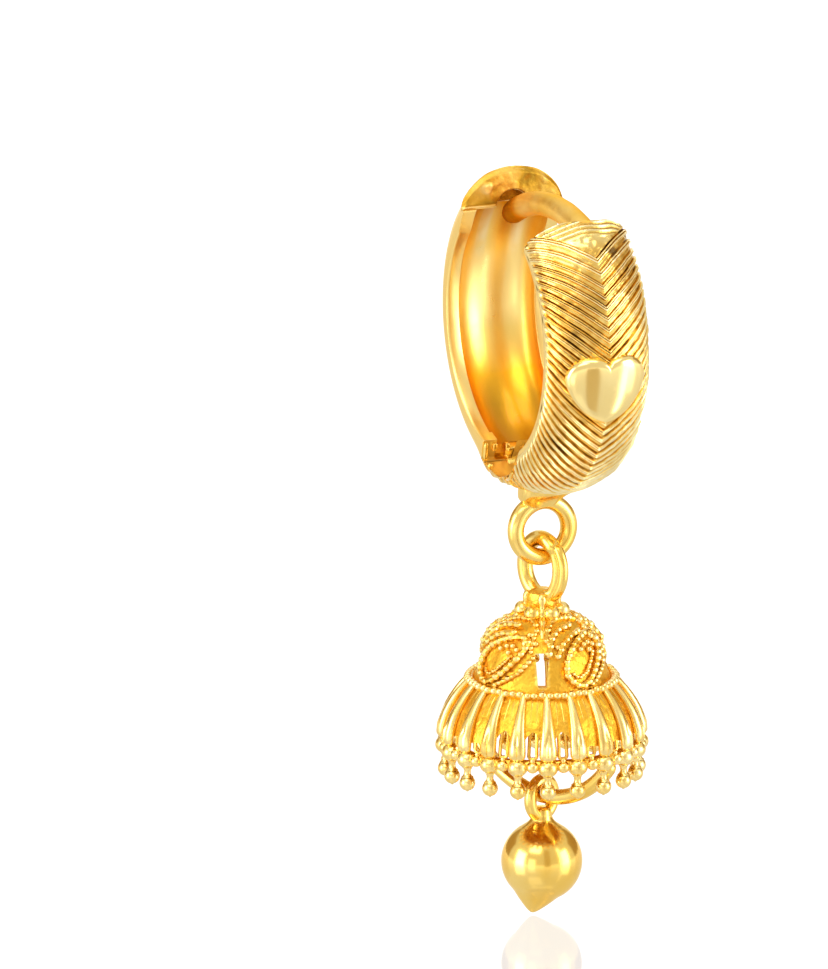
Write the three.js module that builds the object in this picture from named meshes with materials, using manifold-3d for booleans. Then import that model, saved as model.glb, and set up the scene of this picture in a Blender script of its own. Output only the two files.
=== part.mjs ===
// Clip-on hoop earring: a two-part hinged hoop with an engraved front, and a jhumki bell and a
// bead drop hanging below it. Millimetres, +Z up.
// Origin: the axis of the ear post, midway across the gap at the top of the hoop.
// X is the axis of the hoop, -Y its engraved front half and +Y its plain hinged back half.

import * as THREE from 'three';
import { mergeVertices } from 'three/addons/utils/BufferGeometryUtils.js';
import Module from 'manifold-3d';

const wasm = await Module();
wasm.setup();
const { Manifold, Mesh } = wasm;

// ---- hoop, measured from its centre; angles turn from +Y (back) towards +Z (top) ----
const CROWN_R = 7.9;
const OPENING_R = 5.85;
const BAND_WIDTH = 5.2;
const EDGE_HEIGHT = 0.25;
const TROUGH_R = 7.35;
const TROUGH_WIDTH = 3.9;
const TROUGH_STEP = 0.12;
const FRONT_TOP_ANGLE = 126;
const BACK_TOP_ANGLE = 66;
const FRONT_WALL_ANGLE = 9;

// ---- end plate of the back half: upright, facing the front, notched from below for the post ----
const PLATE_Y = 3.89;
const PLATE_BOTTOM_Z = 5.06;
const PLATE_UNDERCUT = 0.4;
const NOTCH_R = 0.75;
const NOTCH_Z = 5.02;
const NOTCH_DEPTH = 1.1;

// ---- hinge ----
const HINGE_ANGLE = 281;
const HINGE_R = 7.3;
const HINGE_SPLIT_ANGLE = 0.4;
const HINGE_BLOCK_ANGLE = 9.5;
const HINGE_BLOCK_R = 6.6;
const KNUCKLE_R = 0.65;
const KNUCKLE_CLEARANCE = 0.1;
const CENTRE_KNUCKLE_WIDTH = 1.0;
const SIDE_GAP = 0.06;
const HINGE_WIDTH = 3.0;
const PIN_R = 0.3;
const PIN_CLEARANCE = 0.05;
const SHOULDER_RELIEF_R = 0.45;
const SHOULDER_RELIEF_WIDTH = 3.94;

// ---- ear post: a rod bent to a gentle arc in the YZ plane ----
const POST_R = 0.575;
const POST_ARC_R = 12;
const POST_ARC_Y = -1.8;
const POST_ARC_Z = -5.84;
const POST_FOOT_ANGLE = 103.9;
const POST_TIP_ANGLE = 58.5;
const SOCKET_ANGLE = 104.2;
const SOCKET_CLEARANCE = 0.05;

// ---- heart boss on the front ----
const HEART_ANGLE = 186.8;
const HEART_X = -0.1;
const HEART_WIDTH = 3.8;
const HEART_HEIGHT = 3.4;
const HEART_RAISE = 0.3;

// ---- hanging ring soldered under the front half ----
const DROP_Y = 0.3;
const RING_Z = -10.0;
const RING_R = 1.37;
const RING_WIRE_R = 0.42;
const TAB_WIDTH = 2.9;
const TAB_FRONT_Y = -0.9;
const TAB_BACK_Y = 0.5;
const TAB_TOP_Z = -7.4;
const TAB_BOTTOM_Z = -8.48;

// ---- jhumki bell, turned about its own axis ----
const BELL_YAW = 22.2;
const LINK_GAP = 0.08;
const EYE_HALF_WIDTH = 1.15;
const EYE_HALF_HEIGHT = 1.42;
const EYE_WIRE_R = 0.4;
const DOME_WALL = 0.45;
const DOME_OUTLINE = [
  { r: 0.75, z: -13.15 },
  { r: 0.8, z: -14.15 },
  { r: 1.25, z: -14.4 },
  { r: 1.8, z: -14.8 },
  { r: 2.35, z: -15.3 },
  { r: 2.8, z: -15.9 },
  { r: 3.08, z: -16.5 },
  { r: 3.4, z: -17.15 },
];
const CEILING_START = 3;
const WAIST_RING = { r: 3.5, z: -17.3, wire: 0.3 };
const RIM_RING = { r: 4.6, z: -20.55, wire: 0.52 };
const MOTIFS = 4;
const MOTIF_RAISE = 0.3;
const MOTIF_WIDTH = 2.9;
const MOTIF_TOP_Z = -14.3;
const MOTIF_BOTTOM_Z = -17.05;
const WINDOW_WIDTH = 0.5;
const WINDOW_TOP_Z = -15.5;
const WINDOW_BOTTOM_Z = -16.95;
const RIBS = 20;
const FIRST_RIB_ANGLE = -131.7;
const RIB_FOOT = { r: 4.85, z: -20.2 };
const RIB_TOP_WIDTH = 0.42;
const RIB_FOOT_WIDTH = 0.8;
const RIB_DEPTH = 0.45;
const BALL_R = 0.4;
const BALL_Z = -21.75;
const STEM_R = 0.18;

// ---- wire across the mouth of the bell, and the bead drop that hangs on it ----
const CROSS_WIRE_R = 0.38;
const CROSS_WIRE_HALF_SPAN = 4.45;
const CROSS_WIRE_END_Z = -20.95;
const CROSS_WIRE_LOW_Z = -23.15;
const DROP_EYE_WIRE_R = 0.3;
const DROP_EYE_HALF_WIDTH = 0.78;
const DROP_EYE_HALF_HEIGHT = 0.9;
const DROP_NECK_R = 0.62;
const BEAD_R = 1.95;
const BEAD_Z = -26.4;
const BEAD_TIP_Z = -28.85;
const BEAD_TILT = 15;

// ---- facets ----
const HOOP_STEPS = 60;
const CROWN_STEPS = 8;
const TROUGH_STEPS = 6;
const BELL_STEPS = 40;
const RING_SIDES = 6;
const WIRE_SIDES = 8;
const PIN_SIDES = 16;
const LINK_STEPS = 18;
const BALL_SIDES = 7;
const BALL_ROWS = 5;

const rad = THREE.MathUtils.degToRad;
const HOOP_DROP = Math.sqrt(POST_ARC_R ** 2 - POST_ARC_Y ** 2) + POST_ARC_Z;

// The closed solid of a three.js geometry: shared vertices are merged and triangles that have
// shrunk to a line are left out.
function solidOf(geometry) {
  const bare = geometry.clone();
  bare.deleteAttribute('normal');
  bare.deleteAttribute('uv');
  const merged = mergeVertices(bare, 1e-4);
  const index = merged.index.array;
  const corners = [];
  for (let i = 0; i < index.length; i += 3) {
    const [a, b, c] = [index[i], index[i + 1], index[i + 2]];
    if (a !== b && b !== c && c !== a) corners.push(a, b, c);
  }
  const vertProperties = new Float32Array(merged.attributes.position.array);
  const triVerts = new Uint32Array(corners);
  return new Manifold(new Mesh({ numProp: 3, vertProperties, triVerts }));
}

function joined(solids) {
  return solids.reduce((all, next) => all.add(next));
}

function nodeMesh(name, solid, material) {
  const { vertProperties, triVerts } = solid.getMesh();
  const geometry = new THREE.BufferGeometry();
  geometry.setAttribute('position', new THREE.BufferAttribute(vertProperties, 3));
  geometry.setIndex(new THREE.BufferAttribute(triVerts, 1));
  geometry.computeVertexNormals();
  const mesh = new THREE.Mesh(geometry, material);
  mesh.name = name;
  return mesh;
}

// A full ring about X from an outline of [x, radius] points.
function ringAboutX(outline) {
  const closed = [...outline, outline[0]];
  const points = closed.map(([x, r]) => new THREE.Vector2(r, x));
  return solidOf(new THREE.LatheGeometry(points, HOOP_STEPS).rotateZ(-Math.PI / 2));
}

// A round body about Z from [radius, z] points that start and end on the axis or close.
function turnedAboutZ(outline, steps = BELL_STEPS) {
  const points = outline.map(([r, z]) => new THREE.Vector2(r, z));
  return solidOf(new THREE.LatheGeometry(points, steps).rotateX(Math.PI / 2));
}

// An outline in the YZ plane, extruded along X over the given width about x = 0.
function plateAcross(shape, width) {
  const geometry = new THREE.ExtrudeGeometry(shape, { depth: width, bevelEnabled: false });
  const turn = new THREE.Matrix4().makeBasis(
    new THREE.Vector3(0, 1, 0), new THREE.Vector3(0, 0, 1), new THREE.Vector3(1, 0, 0));
  return solidOf(geometry.translate(0, 0, -width / 2).applyMatrix4(turn));
}

// The slice of space between two angles about the hoop's axis.
function slice(fromAngle, toAngle) {
  const shape = new THREE.Shape();
  shape.moveTo(0, 0);
  shape.absarc(0, 0, 2 * CROWN_R, rad(fromAngle), rad(toAngle), false);
  shape.lineTo(0, 0);
  return plateAcross(shape, 2 * BAND_WIDTH);
}

function rodAlongX(radius, fromX, toX, y, z) {
  const geometry = new THREE.CylinderGeometry(radius, radius, toX - fromX, PIN_SIDES);
  return solidOf(geometry.rotateZ(Math.PI / 2).translate((fromX + toX) / 2, y, z));
}

function wireAlong(curve, radius, steps) {
  const section = new THREE.Shape();
  section.absarc(0, 0, radius, 0, 2 * Math.PI, false);
  const options = { steps, extrudePath: curve, curveSegments: WIRE_SIDES / 2, bevelEnabled: false };
  return solidOf(new THREE.ExtrudeGeometry(section, options));
}

// An arc in the YZ plane.
class ArcAcross extends THREE.Curve {
  constructor(y, z, radius, fromAngle, toAngle) {
    super();
    Object.assign(this, { y, z, radius, fromAngle, toAngle });
  }

  getPoint(t, target = new THREE.Vector3()) {
    const angle = rad(this.fromAngle + (this.toAngle - this.fromAngle) * t);
    const y = this.y + this.radius * Math.cos(angle);
    return target.set(0, y, this.z + this.radius * Math.sin(angle));
  }
}

// ---- hoop halves ----

function crownOutline(raise = 0) {
  const outline = [[-BAND_WIDTH / 2, OPENING_R]];
  const rise = CROWN_R - OPENING_R - EDGE_HEIGHT + raise;
  for (let i = 0; i <= CROWN_STEPS; i += 1) {
    const angle = Math.PI * (1 - i / CROWN_STEPS);
    const x = BAND_WIDTH / 2 * Math.cos(angle);
    outline.push([x, OPENING_R + EDGE_HEIGHT + rise * Math.sin(angle)]);
  }
  outline.push([BAND_WIDTH / 2, OPENING_R]);
  return outline;
}

function troughOutline() {
  const base = OPENING_R + TROUGH_STEP;
  const outline = [[-TROUGH_WIDTH / 2, OPENING_R - 0.5]];
  for (let i = 0; i <= TROUGH_STEPS; i += 1) {
    const angle = Math.PI * (1 - i / TROUGH_STEPS);
    outline.push([TROUGH_WIDTH / 2 * Math.cos(angle), base + (TROUGH_R - base) * Math.sin(angle)]);
  }
  outline.push([TROUGH_WIDTH / 2, OPENING_R - 0.5]);
  return outline;
}

// The shallow part of the hollow, over the hinge.
function hingeStep() {
  const x = TROUGH_WIDTH / 2 - 0.15;
  const low = OPENING_R - 0.5;
  const step = ringAboutX([[-x, low], [-x, HINGE_BLOCK_R], [x, HINGE_BLOCK_R], [x, low]]);
  const reach = HINGE_BLOCK_ANGLE + 1;
  return step.intersect(slice(HINGE_ANGLE - reach, HINGE_ANGLE + reach));
}

// One half of the band: a D-shaped section, hollow inside, with a wall left at both ends.
function halfBand(fromAngle, toAngle, wallFrom, wallTo) {
  const band = ringAboutX(crownOutline()).intersect(slice(fromAngle, toAngle));
  const trough = ringAboutX(troughOutline()).intersect(slice(fromAngle + wallFrom, toAngle - wallTo));
  return band.subtract(trough).subtract(hingeStep());
}

const hingeY = HINGE_R * Math.cos(rad(HINGE_ANGLE));
const hingeZ = HINGE_R * Math.sin(rad(HINGE_ANGLE));

function hingeRelief() {
  const half = HINGE_WIDTH / 2 + SIDE_GAP;
  const barrel = rodAlongX(KNUCKLE_R + KNUCKLE_CLEARANCE, -half, half, hingeY, hingeZ);
  const shoulder = SHOULDER_RELIEF_WIDTH / 2;
  return barrel.add(rodAlongX(SHOULDER_RELIEF_R, -shoulder, shoulder, hingeY, hingeZ));
}

// A knuckle barrel with the web that ties it to its half of the band; side is +1 towards the
// back half and -1 towards the front half.
function knuckle(fromX, toX, side) {
  const barrel = rodAlongX(KNUCKLE_R, fromX, toX, hingeY, hingeZ);
  const reach = 2.2 * KNUCKLE_R;
  const web = new THREE.BoxGeometry(toX - fromX, reach, 1.5 * KNUCKLE_R)
    .translate((fromX + toX) / 2, side * reach / 2, 0.15 * KNUCKLE_R)
    .rotateX(rad(HINGE_ANGLE + 90))
    .translate(0, hingeY, hingeZ);
  return barrel.add(solidOf(web));
}

function pinHole() {
  return rodAlongX(PIN_R + PIN_CLEARANCE, -BAND_WIDTH, BAND_WIDTH, hingeY, hingeZ);
}

function heartShape() {
  const w = HEART_WIDTH / 2;
  const top = 0.42 * HEART_HEIGHT;
  const notch = 0.3 * HEART_HEIGHT;
  const tip = -0.58 * HEART_HEIGHT;
  const shape = new THREE.Shape();
  shape.moveTo(0, notch);
  shape.bezierCurveTo(0.1 * w, top, 0.85 * w, 1.15 * top, w, 0.3 * top);
  shape.bezierCurveTo(1.04 * w, 0.28 * tip, 0.45 * w, 0.94 * tip, 0, tip);
  shape.bezierCurveTo(-0.45 * w, 0.94 * tip, -1.04 * w, 0.28 * tip, -w, 0.3 * top);
  shape.bezierCurveTo(-0.85 * w, 1.15 * top, -0.1 * w, top, 0, notch);
  return shape;
}

function heartBoss() {
  const options = { depth: 2.5, bevelEnabled: false, curveSegments: 6 };
  const angle = rad(HEART_ANGLE);
  const out = new THREE.Vector3(0, Math.cos(angle), Math.sin(angle));
  const up = new THREE.Vector3(0, Math.sin(angle), -Math.cos(angle));
  const turn = new THREE.Matrix4().makeBasis(new THREE.Vector3().crossVectors(up, out), up, out);
  const column = new THREE.ExtrudeGeometry(heartShape(), options)
    .translate(HEART_X, 0, OPENING_R + 1)
    .applyMatrix4(turn);
  const envelope = ringAboutX(crownOutline(HEART_RAISE));
  return solidOf(column).intersect(envelope).subtract(ringAboutX(troughOutline()));
}

function hangingRing() {
  const torus = new THREE.TorusGeometry(RING_R, RING_WIRE_R, WIRE_SIDES, LINK_STEPS);
  const ring = solidOf(torus.rotateX(Math.PI / 2).translate(0, DROP_Y, RING_Z));
  const depth = TAB_BACK_Y - TAB_FRONT_Y;
  const tab = new THREE.BoxGeometry(TAB_WIDTH, depth, TAB_TOP_Z - TAB_BOTTOM_Z)
    .translate(0, (TAB_FRONT_Y + TAB_BACK_Y) / 2, (TAB_TOP_Z + TAB_BOTTOM_Z) / 2);
  return ring.add(solidOf(tab));
}

function postCurve(fromAngle, toAngle) {
  return new ArcAcross(POST_ARC_Y, POST_ARC_Z, POST_ARC_R, fromAngle, toAngle);
}

function earPost() {
  const rod = wireAlong(postCurve(POST_FOOT_ANGLE, POST_TIP_ANGLE), POST_R, 12);
  const tip = postCurve(POST_FOOT_ANGLE, POST_TIP_ANGLE).getPoint(1);
  const cap = new THREE.SphereGeometry(POST_R, WIRE_SIDES, 6).translate(tip.x, tip.y, tip.z);
  return rod.add(solidOf(cap));
}

function frontHalf() {
  const band = halfBand(FRONT_TOP_ANGLE, HINGE_ANGLE - HINGE_SPLIT_ANGLE,
    FRONT_WALL_ANGLE, HINGE_BLOCK_ANGLE);
  const half = CENTRE_KNUCKLE_WIDTH / 2;
  const socket = wireAlong(postCurve(SOCKET_ANGLE, 90), POST_R + SOCKET_CLEARANCE, 8);
  return band
    .add(hangingRing())
    .subtract(hingeRelief())
    .add(knuckle(-half, half, -1))
    .subtract(pinHole())
    .add(heartBoss())
    .subtract(socket);
}

// A block right across the band, between the given limits.
function blockAcross(fromY, toY, fromZ, toZ) {
  const block = new THREE.BoxGeometry(2 * BAND_WIDTH, toY - fromY, toZ - fromZ);
  return solidOf(block.translate(0, (fromY + toY) / 2, (fromZ + toZ) / 2));
}

// What is cut away below the end plate and above it, where the plain band would run on.
function plateTrim() {
  const above = blockAcross(0, CROWN_R, PLATE_BOTTOM_Z, CROWN_R + 1);
  return above.add(blockAcross(0, PLATE_Y + PLATE_UNDERCUT, 1, PLATE_BOTTOM_Z));
}

// The solid end of the back half, upright towards the front and flat below.
function endPlate() {
  const solid = ringAboutX(crownOutline()).intersect(slice(0, BACK_TOP_ANGLE));
  return solid.intersect(blockAcross(PLATE_Y, CROWN_R, PLATE_BOTTOM_Z, CROWN_R + 1));
}

// The blind notch in the end plate, open below, that the post drops into.
function postNotch() {
  const depth = 2 * NOTCH_DEPTH;
  const slot = new THREE.BoxGeometry(2 * NOTCH_R, depth, 1).translate(0, PLATE_Y, NOTCH_Z - 0.5);
  const round = new THREE.CylinderGeometry(NOTCH_R, NOTCH_R, depth, 24)
    .translate(0, PLATE_Y, NOTCH_Z);
  return joined([slot, round].map((cutter) => solidOf(cutter)));
}

function backHalf() {
  const band = halfBand(HINGE_ANGLE + HINGE_SPLIT_ANGLE, BACK_TOP_ANGLE + 360,
    HINGE_BLOCK_ANGLE, 0);
  const inner = CENTRE_KNUCKLE_WIDTH / 2 + SIDE_GAP;
  const outer = HINGE_WIDTH / 2;
  return band
    .subtract(hingeRelief())
    .add(knuckle(inner, outer, 1))
    .add(knuckle(-outer, -inner, 1))
    .subtract(pinHole())
    .subtract(plateTrim())
    .add(endPlate())
    .subtract(postNotch());
}

function hingePin() {
  const half = HINGE_WIDTH / 2 - SIDE_GAP;
  return rodAlongX(PIN_R, -half, half, hingeY, hingeZ);
}

// ---- jhumki bell, about the local Z axis ----

function dome() {
  const outside = DOME_OUTLINE.map(({ r, z }) => [r, z]);
  const inside = DOME_OUTLINE.slice(CEILING_START)
    .map(({ r, z }) => [r - DOME_WALL, z - DOME_WALL / 3]);
  const top = DOME_OUTLINE[0].z;
  const ceiling = inside[0][1];
  const outline = [[0, top], ...outside, ...inside.reverse(), [0, ceiling]];
  return turnedAboutZ(outline.reverse());
}

function wireRing({ r, z, wire }) {
  const torus = new THREE.TorusGeometry(r, wire, RING_SIDES, BELL_STEPS);
  return solidOf(torus.translate(0, 0, z));
}

function motifShape() {
  const height = MOTIF_TOP_Z - MOTIF_BOTTOM_Z;
  const w = MOTIF_WIDTH / 2;
  const shape = new THREE.Shape();
  shape.moveTo(0, height);
  shape.bezierCurveTo(0.5 * w, 0.75 * height, w, 0.5 * height, w, 0.3 * height);
  shape.bezierCurveTo(w, 0, 0.4 * w, 0, 0, 0);
  shape.bezierCurveTo(-0.4 * w, 0, -w, 0, -w, 0.3 * height);
  shape.bezierCurveTo(-w, 0.5 * height, -0.5 * w, 0.75 * height, 0, height);
  return shape;
}

// Four raised leaf-shaped panels round the dome.
function motifs() {
  const raised = DOME_OUTLINE.map(({ r, z }) => [r + MOTIF_RAISE, z]);
  const last = raised[raised.length - 1];
  const outline = [[0, raised[0][1]], ...raised, [0, last[1]]];
  const envelope = turnedAboutZ(outline.reverse()).subtract(underDome());
  const options = { depth: 6, bevelEnabled: false, curveSegments: 3 };
  const panels = [];
  for (let i = 0; i < MOTIFS; i += 1) {
    const panel = new THREE.ExtrudeGeometry(motifShape(), options)
      .rotateX(Math.PI / 2)
      .translate(0, 0, MOTIF_BOTTOM_Z)
      .rotateZ(2 * Math.PI * i / MOTIFS);
    panels.push(solidOf(panel).intersect(envelope));
  }
  return joined(panels);
}

// The hollow under the dome, as a solid.
function underDome() {
  const inside = DOME_OUTLINE.slice(CEILING_START)
    .map(({ r, z }) => [r - DOME_WALL / 2, z - DOME_WALL / 3]);
  const last = inside[inside.length - 1];
  const outline = [[0, inside[0][1]], ...inside, [last[0], -30], [0, -30]];
  return turnedAboutZ(outline.reverse());
}

function windows() {
  const height = WINDOW_TOP_Z - WINDOW_BOTTOM_Z;
  const cutters = [];
  for (let i = 0; i < 2; i += 1) {
    const cutter = new THREE.BoxGeometry(WINDOW_WIDTH, 12, height)
      .translate(0, 0, (WINDOW_TOP_Z + WINDOW_BOTTOM_Z) / 2)
      .rotateZ(Math.PI / 4 + i * Math.PI / 2);
    cutters.push(solidOf(cutter));
  }
  return joined(cutters);
}

function around(i) {
  return rad(FIRST_RIB_ANGLE + 360 * i / RIBS);
}

// Teardrop bars between the waist ring and the rim ring.
function ribs() {
  const length = Math.hypot(RIB_FOOT.r - WAIST_RING.r, RIB_FOOT.z - WAIST_RING.z);
  const lean = Math.atan2(RIB_FOOT.r - WAIST_RING.r, WAIST_RING.z - RIB_FOOT.z);
  const foot = RIB_FOOT_WIDTH / 2;
  const shape = new THREE.Shape();
  shape.moveTo(-RIB_TOP_WIDTH / 2, 0);
  shape.lineTo(RIB_TOP_WIDTH / 2, 0);
  shape.lineTo(foot, -0.8 * length);
  shape.lineTo(0.6 * foot, -length);
  shape.lineTo(-0.6 * foot, -length);
  shape.lineTo(-foot, -0.8 * length);
  const options = { depth: RIB_DEPTH, bevelEnabled: false };
  const bars = [];
  for (let i = 0; i < RIBS; i += 1) {
    const bar = new THREE.ExtrudeGeometry(shape, options)
      .translate(0, 0, -RIB_DEPTH / 2)
      .applyMatrix4(new THREE.Matrix4().makeBasis(
        new THREE.Vector3(0, 1, 0), new THREE.Vector3(0, 0, 1), new THREE.Vector3(1, 0, 0)))
      .rotateY(-lean)
      .translate(WAIST_RING.r, 0, WAIST_RING.z)
      .rotateZ(around(i));
    bars.push(solidOf(bar));
  }
  return joined(bars);
}

// Balls on short stems, one under each rib.
function rimBalls() {
  const parts = [];
  for (let i = 0; i < RIBS; i += 1) {
    const ball = new THREE.SphereGeometry(BALL_R, BALL_SIDES, BALL_ROWS)
      .rotateX(Math.PI / 2)
      .translate(RIM_RING.r, 0, BALL_Z);
    const stem = new THREE.CylinderGeometry(STEM_R, STEM_R, RIM_RING.z - BALL_Z, 5)
      .rotateX(Math.PI / 2)
      .translate(RIM_RING.r, 0, (RIM_RING.z + BALL_Z) / 2);
    parts.push(joined([ball, stem].map((part) => solidOf(part.rotateZ(around(i))))));
  }
  return joined(parts);
}

// A closed wire oval, upright in the local XZ plane about the origin.
function wireOval(halfWidth, halfHeight, wireR) {
  const points = [];
  for (let i = 0; i < LINK_STEPS; i += 1) {
    const angle = 2 * Math.PI * i / LINK_STEPS;
    points.push(new THREE.Vector3(halfWidth * Math.cos(angle), 0, halfHeight * Math.sin(angle)));
  }
  return wireAlong(new THREE.CatmullRomCurve3(points, true), wireR, LINK_STEPS);
}

function bellEye() {
  const top = RING_Z - RING_R + RING_WIRE_R + LINK_GAP + EYE_WIRE_R;
  return wireOval(EYE_HALF_WIDTH, EYE_HALF_HEIGHT, EYE_WIRE_R)
    .rotate([0, 0, 90])
    .translate([0, 0, top - EYE_HALF_HEIGHT]);
}

function crossWire() {
  const sag = CROSS_WIRE_END_Z - CROSS_WIRE_LOW_Z;
  const radius = (CROSS_WIRE_HALF_SPAN ** 2 + sag ** 2) / (2 * sag);
  const half = THREE.MathUtils.radToDeg(Math.asin(CROSS_WIRE_HALF_SPAN / radius));
  const curve = new ArcAcross(0, CROSS_WIRE_LOW_Z + radius, radius, 270 - half, 270 + half);
  return wireAlong(curve, CROSS_WIRE_R, 14);
}

function jhumkiBell() {
  return joined([dome(), motifs()])
    .subtract(windows())
    .add(wireRing(WAIST_RING))
    .add(wireRing(RIM_RING))
    .add(ribs())
    .add(rimBalls())
    .add(bellEye())
    .add(crossWire());
}

// ---- bead drop ----

function dropEye() {
  const top = CROSS_WIRE_LOW_Z + CROSS_WIRE_R + LINK_GAP + DROP_EYE_WIRE_R;
  return wireOval(DROP_EYE_HALF_WIDTH, DROP_EYE_HALF_HEIGHT, DROP_EYE_WIRE_R)
    .translate([0, 0, top - DROP_EYE_HALF_HEIGHT]);
}

function bead() {
  const tipReach = BEAD_Z - BEAD_TIP_Z;
  const outline = [[0, -tipReach]];
  for (let i = 2; i <= 12; i += 1) {
    const angle = -Math.PI / 2 + Math.PI * i / 12;
    outline.push([BEAD_R * Math.cos(angle), BEAD_R * Math.sin(angle)]);
  }
  outline[outline.length - 1][0] = 0;
  const body = turnedAboutZ(outline, 24);
  return body.rotate([0, BEAD_TILT, 0]).translate([0, 0, BEAD_Z]);
}

function beadDrop() {
  const height = 0.8;
  const neck = new THREE.CylinderGeometry(DROP_EYE_WIRE_R, DROP_NECK_R, height, 12)
    .rotateX(Math.PI / 2)
    .translate(0, 0, BEAD_Z + BEAD_R + 0.25);
  return joined([dropEye(), solidOf(neck), bead()]);
}

// ---- assembly ----

function gold(color, roughness) {
  return new THREE.MeshStandardMaterial({ color, roughness, metalness: 1 });
}

const earring = new THREE.Group();
const hoop = new THREE.Group();
hoop.position.set(0, 0, -HOOP_DROP);
earring.add(hoop);
hoop.add(nodeMesh('front_half_hoop', frontHalf(), gold(0xe6ae3c, 0.25)));
hoop.add(nodeMesh('back_half_hoop', backHalf(), gold(0xe9b44a, 0.2)));
hoop.add(nodeMesh('ear_post', earPost(), gold(0xe2b45c, 0.35)));
hoop.add(nodeMesh('hinge_pin', hingePin(), gold(0xd9a23a, 0.3)));

const jhumki = new THREE.Group();
jhumki.position.set(0, DROP_Y, 0);
jhumki.rotation.z = rad(BELL_YAW);
hoop.add(jhumki);
jhumki.add(nodeMesh('jhumki_bell', jhumkiBell(), gold(0xe3a836, 0.28)));
jhumki.add(nodeMesh('bead_drop', beadDrop(), gold(0xe8b040, 0.12)));

export default earring;
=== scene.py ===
import math

import bmesh
import bpy
import numpy as np
from mathutils import Matrix, Vector


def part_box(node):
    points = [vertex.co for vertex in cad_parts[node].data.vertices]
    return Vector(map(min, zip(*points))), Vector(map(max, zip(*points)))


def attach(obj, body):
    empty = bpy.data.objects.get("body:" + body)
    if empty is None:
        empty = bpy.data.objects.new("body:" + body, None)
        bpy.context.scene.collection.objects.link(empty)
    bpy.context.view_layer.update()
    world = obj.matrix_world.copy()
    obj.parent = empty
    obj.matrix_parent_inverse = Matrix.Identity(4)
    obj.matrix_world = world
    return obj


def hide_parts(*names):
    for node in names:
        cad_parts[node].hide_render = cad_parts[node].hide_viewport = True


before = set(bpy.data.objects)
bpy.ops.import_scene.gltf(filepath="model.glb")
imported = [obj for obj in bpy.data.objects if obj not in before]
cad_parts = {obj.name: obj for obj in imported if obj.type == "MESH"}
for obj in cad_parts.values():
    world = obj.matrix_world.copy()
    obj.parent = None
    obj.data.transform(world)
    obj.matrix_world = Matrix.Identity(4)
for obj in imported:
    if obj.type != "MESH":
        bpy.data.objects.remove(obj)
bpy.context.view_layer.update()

# Lengths are in millimetres from the hoop's centre and turn into metres in new_object().
# Hoop angles are in degrees, from +Y (back) towards +Z (top).
MM = 0.001
CENTRE_Z = -6.0242
HALF_WIDTH = 2.6
OPENING_R = 5.85
EDGE_R = 6.1
CROWN_RISE = 1.8
CROWN_R = EDGE_R + CROWN_RISE
HALF_GIRTH = 3.4
TROUGH_HALF = 1.95
HINGE_ANGLE = 281
HINGE_R = 7.3
HINGE_Y = HINGE_R * math.cos(math.radians(HINGE_ANGLE))
HINGE_Z = HINGE_R * math.sin(math.radians(HINGE_ANGLE))
HINGE_LEAN = math.radians(HINGE_ANGLE + 90)
HINGE_FLARE = math.radians(32)
KNUCKLE_R = 0.64
PIN_R = 0.3
FRONT_TOP = 126
FRONT_END = 280.6
BACK_START = 281.4
BACK_END = 426
PLATE_Y = 3.89
NOTCH_R = 0.8
NOTCH_Z = 5.02
RING_R = 1.37
RING_Z = -10.0
DROP_Y = 0.3
BELL_YAW = math.radians(22.2)
WIRE_LOW = -23.15
RIBS = 20
RIB_STEP = 2 * math.pi / RIBS
FIRST_RIB = math.radians(-131.7)
RIM_R = 4.6
rng = np.random.default_rng(7)


# ---------------------------------------------------------------- mesh making

def spin(angle, axis=2):
    """The turn about an axis (0 for X, 1 for Y, 2 for Z), for points as rows."""
    i, j = (axis + 1) % 3, (axis + 2) % 3
    turn = np.eye(3)
    turn[i, i] = turn[j, j] = math.cos(angle)
    turn[i, j], turn[j, i] = math.sin(angle), -math.sin(angle)
    return turn


def once_round(count):
    return np.linspace(0, 2 * math.pi, count, endpoint=False)


def around(r, angle, z):
    """Points at radius r and height z, in a direction from the Z axis."""
    r, angle, z = np.broadcast_arrays(r, angle, z)
    return np.stack([r * np.cos(angle), r * np.sin(angle), z], -1)


def signed_power(value, power):
    return np.sign(value) * np.abs(value) ** power


class Shape:
    """Points and faces of one mesh while it is being put together."""

    def __init__(self):
        self.points = []
        self.faces = []
        self.marks = []
        self.count = 0

    def add(self, points, faces, mark=0.0):
        points = np.asarray(points, float).reshape(-1, 3)
        self.points.append(points)
        self.faces += [[i + self.count for i in f] for f in faces]
        self.marks.append(np.broadcast_to(np.asarray(mark, float).ravel(), (len(points),)))
        self.count += len(points)
        return self

    def grid(self, points, close_u=False, close_v=False, mark=0.0):
        """A sheet of quads through points[u, v]."""
        nu, nv = points.shape[:2]
        iu = np.arange(nu if close_u else nu - 1)
        iv = np.arange(nv if close_v else nv - 1)
        u, v = np.meshgrid(iu, iv, indexing="ij")
        u2, v2 = (u + 1) % nu, (v + 1) % nv
        quads = np.stack([u * nv + v, u2 * nv + v, u2 * nv + v2, u * nv + v2], -1)
        return self.add(points, quads.reshape(-1, 4).tolist(), mark)

    def fan(self, ring, flip=False):
        """A flat cap over a ring of points."""
        order = list(range(len(ring)))
        return self.add(ring, [order[::-1] if flip else order])

    def solid(self, rings, mark=0.0):
        """A body through rings of points, with a flat cap at each end."""
        return self.grid(rings, close_v=True, mark=mark).fan(rings[0]).fan(rings[-1], flip=True)

    def moved(self, turn=0.0, shift=(0, 0, 0)):
        """Everything so far, turned about Z and moved."""
        self.points = [p @ spin(turn) + np.array(shift, float) for p in self.points]
        return self


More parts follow.
